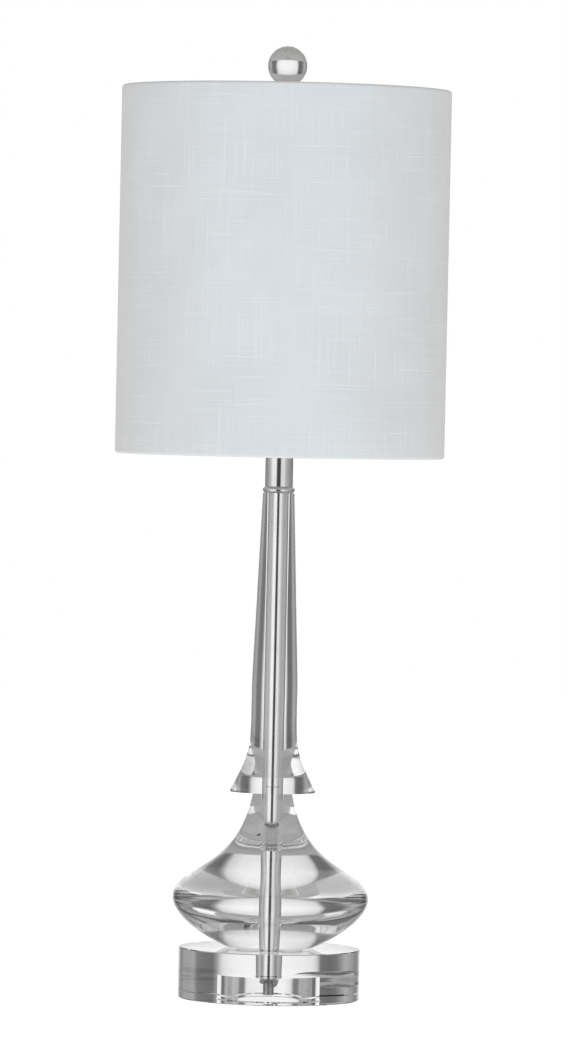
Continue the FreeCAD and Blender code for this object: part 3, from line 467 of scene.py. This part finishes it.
def chrome_tubes(material, bright):
    """Neck tube, its bead ring, its cap, and the sleeve inside the crystal in a brighter copy of the chrome,
    painted brighter so it shows lighter through the crystal.
    """
    low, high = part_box("neck_tube")
    tube_r = high[0]
    inner_r = tube_r - NECK_WALL
    wall = [(inner_r, low[2]), (tube_r, low[2]), (tube_r, high[2]), (inner_r, high[2])]
    chrome_piece("chrome_neck", chamfered(wall, METAL_EDGE), material, "neck_tube")

    low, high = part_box("neck_ring")
    ring_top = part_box("neck_tube")[0][2]
    ring_r, ring_h = high[0], ring_top - low[2]
    spigot_r = inner_r - SPIGOT_GAP
    # The bead is one arc through its rims and its widest point.
    bead_r = (RING_BULGE ** 2 + (ring_h / 2) ** 2) / (2 * RING_BULGE)
    half = math.degrees(math.asin(ring_h / 2 / bead_r))
    if bead_r < RING_BULGE:
        half = 180.0 - half
    bead = arc_points((ring_r - bead_r, low[2] + ring_h / 2), bead_r, -half, half, BEAD_STEPS)
    outline = [(ROD_HOLE_R, low[2]), *bead, (spigot_r, ring_top), (spigot_r, high[2]), (ROD_HOLE_R, high[2])]
    chrome_piece("chrome_bead_ring", outline, material, "neck_ring")

    low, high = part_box("neck_cap")
    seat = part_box("neck_tube")[1][2]
    outline = [(ROD_HOLE_R, low[2]), (spigot_r, low[2]), (spigot_r, seat), (high[0], seat)]
    outline += [(high[0], high[2] - METAL_EDGE), (high[0] - METAL_EDGE, high[2]), (ROD_HOLE_R, high[2])]
    chrome_piece("chrome_neck_cap", outline, material, "neck_cap")

    low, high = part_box("centre_sleeve")
    wall = [(ROD_HOLE_R, low[2]), (high[0], low[2]), (high[0], high[2]), (ROD_HOLE_R, high[2])]
    # painted brightening: the sleeve gets the lighter copy of the chrome because it is seen through the
    # crystal
    chrome_piece("chrome_sleeve", chamfered(wall, METAL_EDGE / 2), bright, "centre_sleeve")


# ---------------------------------------------------------------- shade cloth
def shade_cloth(material):
    """Linen skin of the drum with rolled rims and hems, and its glued lap at the rear."""
    low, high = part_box("shade_fabric")
    drum_r = high[0]
    ring_r = drum_r - ROLL_R
    bottom, top = low[2] + ROLL_R, high[2] - ROLL_R
    inner = ROLL_R - CLOTH_T
    up = [(drum_r, bottom + (top - bottom) * k / CLOTH_ROWS) for k in range(1, CLOTH_ROWS)]
    down = [(drum_r - CLOTH_T, z) for _, z in reversed(up)]
    outline = [
        *up,
        *arc_points((ring_r, top), ROLL_R, 0, 180, ROLL_STEPS),
        (ring_r - ROLL_R, top - HEM_TOP), (ring_r - inner, top - HEM_TOP),
        *arc_points((ring_r, top), inner, 180, 0, ROLL_STEPS),
        *down,
        *arc_points((ring_r, bottom), inner, 0, -180, ROLL_STEPS),
        (ring_r - inner, bottom + HEM_BOTTOM), (ring_r - ROLL_R, bottom + HEM_BOTTOM),
        *arc_points((ring_r, bottom), ROLL_R, -180, 0, ROLL_STEPS),
    ]
    cloth = add_piece("linen_drum", turned_mesh("linen_drum", outline, TURN_STEPS), material,
                      "shade", ["shade_fabric"], sharp=60.0)

    bm = bmesh.new()
    half_angle = LAP_W / 2 / drum_r
    sections = []
    for k in range(LAP_STEPS + 1):
        share = 2 * k / LAP_STEPS - 1
        inner_r, outer_r = drum_r - LAP_INSET, drum_r + CLOTH_T * (1 - share ** LAP_BEVEL)
        angle = math.radians(LAP_AZIMUTH) + share * half_angle
        corners = ((inner_r, bottom), (outer_r, bottom), (outer_r, top), (inner_r, top))
        sections.append([bm.verts.new((r * math.cos(angle), r * math.sin(angle), z)) for r, z in corners])
    for here, beside in zip(sections, sections[1:]):
        for k in range(4):
            bm.faces.new([here[k], here[(k + 1) % 4], beside[(k + 1) % 4], beside[k]])
    bm.faces.new(sections[0])
    bm.faces.new(sections[-1])
    bmesh.ops.recalc_face_normals(bm, faces=bm.faces)
    lap_mesh = bpy.data.meshes.new("linen_lap")
    bm.to_mesh(lap_mesh)
    bm.free()
    lap = add_piece("linen_lap", lap_mesh, material, "shade", sharp=40.0)


# ---------------------------------------------------------------- finishes of the CAD pieces
def finish_node(node, material):
    """Gives a CAD piece its material in every slot."""
    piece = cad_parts[node]
    if not piece.material_slots:
        piece.data.materials.append(material)
    for slot in piece.material_slots:
        slot.material = material


def finish_cad_pieces(chrome):
    zinc = turned_steel_material("zinc_steel", (0.70, 0.70, 0.71), 0.28)
    dark_zinc = turned_steel_material("dark_zinc", (0.50, 0.50, 0.51), 0.30)
    nickel = plated_material("polished_nickel", (0.72, 0.70, 0.67), 0.10, 0.12, 40.0)
    brass = plated_material("bright_brass", (0.80, 0.63, 0.30), 0.14, 0.14, 55.0)
    aluminium = turned_steel_material("rolled_aluminium", (0.78, 0.78, 0.79), 0.30)
    solder = plated_material("solder", (0.60, 0.60, 0.62), 0.38, 0.15, 300.0)
    tungsten = plated_material("drawn_tungsten", (0.33, 0.33, 0.34), 0.35, 0.15, 300.0)
    rubber = moulded_material("black_rubber", (0.028, 0.027, 0.026), 0.72, 0.35)
    nylon = moulded_material("nylon", (0.80, 0.80, 0.77), 0.38, 0.12)
    paper = moulded_material("insulating_paper", (0.45, 0.34, 0.20), 0.70, 0.5)
    phenolic = moulded_material("phenolic", (0.035, 0.028, 0.024), 0.34, 0.15)
    knob = moulded_material("black_knob", (0.018, 0.018, 0.018), 0.30, 0.12)
    black_glass = moulded_material("black_glass", (0.012, 0.012, 0.014), 0.10, 0.02)
    styrene = moulded_material("styrene_lining", (0.86, 0.86, 0.85), 0.52, 0.08)
    white_wire = moulded_material("white_coated_wire", (0.82, 0.82, 0.80), 0.36, 0.12)
    pad = clear_material("clear_pad", 0.12, 1.45, (0.94, 0.94, 0.94))
    gasket = moulded_material("clear_gasket", (0.78, 0.78, 0.77), 0.42, 0.05, Transmission_Weight=0.45)
    frosted = clear_material("frosted_glass", 0.45, 1.50, (0.93, 0.93, 0.91))
    stem_glass = clear_material("stem_glass", 0.02, 1.52, (0.97, 0.98, 0.98))

    by_material = [
        (pad, ["foot_pads"]),
        (gasket, ["lower_gasket", "upper_gasket"]),
        (nylon, ["cord_bushing"]),
        (zinc, ["base_nut", "base_lock_washer", "base_clamp_washer", "saddle_nut", "cap_set_screw"]),
        (dark_zinc, ["threaded_rod"]),
        (rubber, ["base_rubber_washer"]),
        (nickel, ["harp_saddle", "harp_bow", "harp_stud", "ferrule_left", "ferrule_right", "spider_hub",
                  "socket_cap", "socket_shell"]),
        (brass, ["screw_shell", "centre_contact", "terminal_screws", "switch_shaft"]),
        (paper, ["paper_insulator"]),
        (phenolic, ["switch_body"]),
        (knob, ["switch_knob"]),
        (frosted, ["bulb_glass"]),
        (aluminium, ["bulb_screw_base"]),
        (black_glass, ["bulb_insulator"]),
        (solder, ["bulb_tip"]),
        (stem_glass, ["bulb_stem"]),
        (tungsten, ["bulb_filament"]),
        (styrene, ["shade_liner"]),
        (white_wire, ["top_ring", "bottom_ring", "spider_arms"]),
        (chrome, ["finial_base"]),
    ]
    for material, nodes in by_material:
        for node in nodes:
            finish_node(node, material)


# ---------------------------------------------------------------- studio
# What the chrome and the crystal see all round, as (degrees from the front towards +X, grey from 0 to 255).
AROUND = [
    (-180, 254), (-165, 243), (-159, 232), (-157, 204), (-155, 108), (-149, 92), (-143, 102), (-132, 174),
    (-116, 148), (-100, 182), (-86, 188), (-68, 222), (-57, 262), (-24, 262), (-17, 120), (-8, 78), (10, 78),
    (17, 236), (40, 252), (54, 210), (74, 186), (96, 165), (116, 160), (124, 146), (134, 162), (139, 106),
    (152, 94), (155, 150), (158, 222), (165, 246), (173, 252), (180, 254),
]
# What they see above and below that, as (degrees above the horizon, grey).
ABOVE = [(-90, 172), (-52, 160), (-42, 140), (-30, 158), (-15, 165), (40, 165), (60, 172), (90, 190)]
BACKDROP_LOW, BACKDROP_HIGH = -19.0, 21.0      # degrees, behind the lamp
BACKDROP_MIDDLE, BACKDROP_EVEN = 3.0, 4.0      # degrees, its brightest height and how far it stays even
BACKDROP_EDGE = 0.84                           # its brightness at the limits, as a share
BANK_LOW, BANK_HIGH = -48.0, 52.0              # degrees, at the sides and the front
SIDES_END, REAR_START = 96.0, 112.0            # degrees from the front
FADE = 1.2                                     # degrees over which each limit fades
AMBIENT = (0.532, 0.508, 0.490)
FRONT_LIGHT = (0.60, 0.80, 1.00)
FRONT_POWER = 46.0                             # watts
FRONT_SIZE, FRONT_PLACE, FRONT_TILT = (1.6, 1.8), (0.0, -3.6, 0.9), 86.0
FLOOR_REACH, FLOOR_GLOW = 6.0, 0.97


def studio_world():
    """Plain white to the camera, even light on matt surfaces, a studio by direction in gloss and glass."""
    world = bpy.data.worlds.new("studio")
    bpy.context.scene.world = world
    world.use_nodes = True
    world.cycles.sampling_method = "NONE"
    n = Nodes(world.node_tree)
    direction = n.add("ShaderNodeTexCoord").outputs["Generated"]
    parts = n.add("ShaderNodeSeparateXYZ")
    n.feed(parts.inputs[0], direction)
    x, y, z = parts.outputs
    azimuth = n.math("ARCTAN2", x, n.math("MULTIPLY", y, -1.0))
    turn = n.math("MULTIPLY_ADD", azimuth, 1 / (2 * math.pi), 0.5)
    rise = n.math("ARCSINE", n.math("MINIMUM", n.math("MAXIMUM", z, -1.0), 1.0))
    lift = n.math("MULTIPLY_ADD", rise, 1 / math.pi, 0.5)
    degrees_up = n.math("MULTIPLY", rise, 180 / math.pi)
    sides_end, rear_start = math.radians(SIDES_END), math.radians(REAR_START)

    around = n.ramp(turn, [((degrees + 180) / 360, grey(value)) for degrees, value in AROUND])
    away = n.math("ABSOLUTE", n.math("SUBTRACT", degrees_up, BACKDROP_MIDDLE))
    behind = n.smooth(n.math("ABSOLUTE", azimuth), sides_end, rear_start)
    dim = n.smooth(away, BACKDROP_EVEN, BACKDROP_HIGH - BACKDROP_MIDDLE, 1.0, BACKDROP_EDGE)
    dim = n.math("ADD", 1.0, n.math("MULTIPLY", behind, n.math("SUBTRACT", dim, 1.0)))
    dimmed = n.add("ShaderNodeVectorMath", operation="SCALE")
    n.feed(dimmed.inputs[0], around)
    n.feed(dimmed.inputs["Scale"], dim)
    above = n.ramp(lift, [((degrees + 90) / 180, grey(value)) for degrees, value in ABOVE], "B_SPLINE")
    front = n.smooth(n.math("ABSOLUTE", azimuth), rear_start, sides_end)
    low_limit = n.math("MULTIPLY_ADD", front, BANK_LOW - BACKDROP_LOW, BACKDROP_LOW)
    high_limit = n.math("MULTIPLY_ADD", front, BANK_HIGH - BACKDROP_HIGH, BACKDROP_HIGH)
    inside = n.math("MULTIPLY",
                    n.smooth(n.math("SUBTRACT", degrees_up, low_limit), -FADE, FADE),
                    n.smooth(n.math("SUBTRACT", high_limit, degrees_up), -FADE, FADE))
    seen = n.blend(inside, above, dimmed.outputs[0])
    rays = n.add("ShaderNodeLightPath").outputs
    reflected = n.math("MAXIMUM", rays["Is Glossy Ray"], rays["Is Transmission Ray"])
    light = n.blend(reflected, (*AMBIENT, 1.0), seen)
    light = n.blend(rays["Is Camera Ray"], light, (1.0, 1.0, 1.0, 1.0))
    background = n.add("ShaderNodeBackground")
    n.feed(background.inputs["Color"], light)
    n.finish(background.outputs[0], "ShaderNodeOutputWorld")


def studio_floor():
    """Pale floor that shows only a faint shadow."""
    mesh = bpy.data.meshes.new("studio_floor")
    signs = ((-1, -1), (1, -1), (1, 1), (-1, 1))
    mesh.from_pydata([(x * FLOOR_REACH, y * FLOOR_REACH, 0) for x, y in signs], [], [(0, 1, 2, 3)])
    floor = bpy.data.objects.new("studio_floor", mesh)
    bpy.context.scene.collection.objects.link(floor)
    material, n = new_material("studio_floor")
    point = n.place()[0]
    paper = n.ramp(n.noise(point, 3.0), [(0.3, (0.24, 0.24, 0.24)), (0.7, (0.25, 0.25, 0.25))])
    glow = n.add("ShaderNodeEmission")
    glow.inputs["Strength"].default_value = FLOOR_GLOW
    both = n.add("ShaderNodeAddShader")
    n.feed(both.inputs[0], principled(n, paper, 0.95))
    n.feed(both.inputs[1], glow.outputs[0])
    n.finish(both.outputs[0])
    mesh.materials.append(material)
    floor.visible_glossy = False
    floor.visible_transmission = False


def front_light():
    """Large soft light behind the camera, for the shade's brighter middle."""
    data = bpy.data.lights.new("front_softbox", "AREA")
    data.shape = "RECTANGLE"
    data.size, data.size_y = FRONT_SIZE
    data.energy, data.color = FRONT_POWER, FRONT_LIGHT
    light = bpy.data.objects.new("front_softbox", data)
    light.location = FRONT_PLACE
    light.rotation_euler = (math.radians(FRONT_TILT), 0, 0)
    light.visible_glossy = False
    light.visible_transmission = False
    bpy.context.scene.collection.objects.link(light)


CAMERA_DISTANCE, CAMERA_HEIGHT, CAMERA_RIGHT = 6.335, 0.568, 0.0054
CAMERA_PITCH, CAMERA_ROLL = -1.2603, 1.2        # degrees
CAMERA_LENS, SENSOR = 238.9, 36.0              # millimetres


def photo_camera():
    data = bpy.data.cameras.new("photo_camera")
    data.sensor_fit = "VERTICAL"
    data.sensor_height = SENSOR
    data.lens = CAMERA_LENS
    data.clip_end = 50.0
    camera = bpy.data.objects.new("photo_camera", data)
    level = Matrix.Rotation(math.radians(90.0 + CAMERA_PITCH), 4, "X")
    rolled = Matrix.Rotation(math.radians(CAMERA_ROLL), 4, "Z")
    camera.matrix_world = Matrix.Translation((CAMERA_RIGHT, -CAMERA_DISTANCE, CAMERA_HEIGHT)) @ level @ rolled
    bpy.context.scene.collection.objects.link(camera)
    bpy.context.scene.camera = camera


# ---------------------------------------------------------------- the lamp
crystal = crystal_material()
chrome = plated_material("polished_chrome", (0.80, 0.80, 0.81), 0.03, 0.03, 30.0)
base_disc(crystal)
vase(crystal)
column(crystal)
ball(crystal)
# the second chrome is the neck's chrome made brighter, painted brightening for the sleeve seen through the
# crystal
chrome_tubes(chrome, plated_material("sleeve_painted_bright_chrome", (0.93, 0.93, 0.93), 0.02, 0.02, 12.0))
finish_cad_pieces(chrome)
shade_cloth(linen_material(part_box("shade_fabric")[1][0]))

studio_world()
studio_floor()
front_light()
photo_camera()
cycles = bpy.context.scene.cycles
cycles.max_bounces = 48
cycles.transmission_bounces = 48
cycles.glossy_bounces = 12
cycles.diffuse_bounces = 5
bpy.context.scene.view_settings.view_transform = "Standard"
